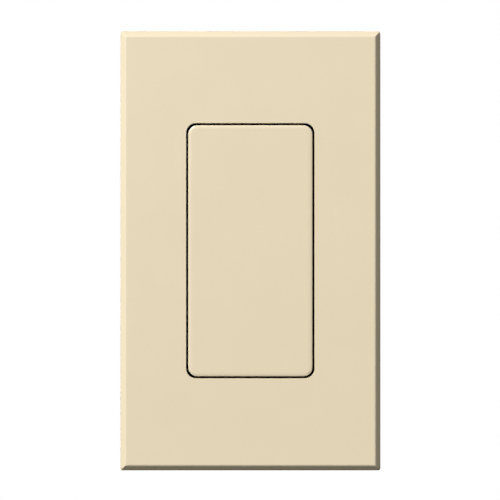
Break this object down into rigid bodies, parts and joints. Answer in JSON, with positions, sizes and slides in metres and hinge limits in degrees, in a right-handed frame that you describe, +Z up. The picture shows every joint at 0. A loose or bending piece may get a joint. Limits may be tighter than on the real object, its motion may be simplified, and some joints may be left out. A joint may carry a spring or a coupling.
{
  "type": "paddle wall switch",
  "caption": "Decorator wall switch: a level paddle set flush in a bevelled screwless faceplate, with a metal strap and a boxed contact mechanism behind it.",
  "frame": {"origin": "centre of the faceplate's rear rim, on the wall's surface", "axes": "+X to the right seen from the room, +Y into the wall, +Z up; the front faces -Y"},
  "size_m": [0.0686, 0.0304, 0.1158],
  "materials": {
    "ivory_plate": "satin",
    "ivory_paddle": "satin",
    "dark_plate": "fine matte",
    "dark_tray": "matte",
    "zinc_screws": "bright zinc",
    "zinc_strap": "zinc plated",
    "zinc_clamps": "zinc plated",
    "steel_pins": "ground",
    "spring_steel": "drawn wire",
    "nylon_black": "satin",
    "nylon_natural": "satin",
    "rubber_pads": "matte",
    "fibre_washers": "pressed fibre",
    "green_screw": "green dyed zinc",
    "housing_cover": "moulded",
    "housing_base": "moulded",
    "rivets": "rolled",
    "spring_copper": "rolled strip",
    "silver_contacts": "domed",
    "brass_terminals": "pressed strip",
    "brass_screws": "bright",
    "dark_screw": "black oxide"
  },
  "bodies": {
    "switch_body": {"faceplate": "ivory_plate", "adapter_plate": "dark_plate", "adapter_screws": "zinc_screws", "front_tray": "dark_tray", "bumper_pads": "rubber_pads", "upper_return_spring": "spring_steel", "lower_return_spring": "spring_steel", "mounting_strap": "zinc_strap", "box_screws": "zinc_screws", "screw_retainers": "fibre_washers", "ground_screw": "green_screw", "housing_cover": "housing_cover", "housing_base": "housing_base", "assembly_rivets": "rivets", "carrier_pin": "steel_pins", "upper_terminal": "brass_terminals", "lower_terminal": "brass_terminals", "common_terminal": "brass_terminals", "upper_fixed_contact": "silver_contacts", "lower_fixed_contact": "silver_contacts", "upper_wire_clamp": "zinc_clamps", "lower_wire_clamp": "zinc_clamps", "common_wire_clamp": "zinc_clamps", "upper_terminal_screw": "brass_screws", "lower_terminal_screw": "brass_screws", "common_terminal_screw": "dark_screw"},
    "paddle": {"paddle": "ivory_paddle", "pivot_shaft": "steel_pins", "drive_lever": "nylon_black"},
    "upper_plunger": {"upper_return_plunger": "nylon_natural"},
    "lower_plunger": {"lower_return_plunger": "nylon_natural"},
    "contact_carrier": {"contact_carrier": "nylon_natural", "contact_blade": "spring_copper", "blade_rivets": "rivets", "moving_contacts": "silver_contacts"}
  },
  "joints": [
    {"name": "paddle_rock", "type": "hinge", "parent": "switch_body", "child": "paddle", "pos_m": [0, -0.0036, 0], "axis": [1, 0, 0], "range_deg": [-3, 3], "stiffness_Nm_per_rad": 0.5},
    {"name": "upper_plunger_slide", "type": "slide", "parent": "switch_body", "child": "upper_plunger", "axis": [0, 1, 0], "range_m": [-0.00105, 0.00105], "deforming": ["upper_return_spring"]},
    {"name": "lower_plunger_slide", "type": "slide", "parent": "switch_body", "child": "lower_plunger", "axis": [0, 1, 0], "range_m": [-0.00105, 0.00105], "deforming": ["lower_return_spring"]},
    {"name": "carrier_rock", "type": "hinge", "parent": "switch_body", "child": "contact_carrier", "pos_m": [0, 0.0134, 0], "axis": [1, 0, 0], "range_deg": [-7.3, 7.3]}
  ],
  "couplings": [
    {"joint": "upper_plunger_slide", "follows": "paddle_rock", "m_per_rad": -0.02},
    {"joint": "lower_plunger_slide", "follows": "paddle_rock", "m_per_rad": 0.02},
    {"joint": "carrier_rock", "follows": "paddle_rock", "ratio": -2.4}
  ]
}
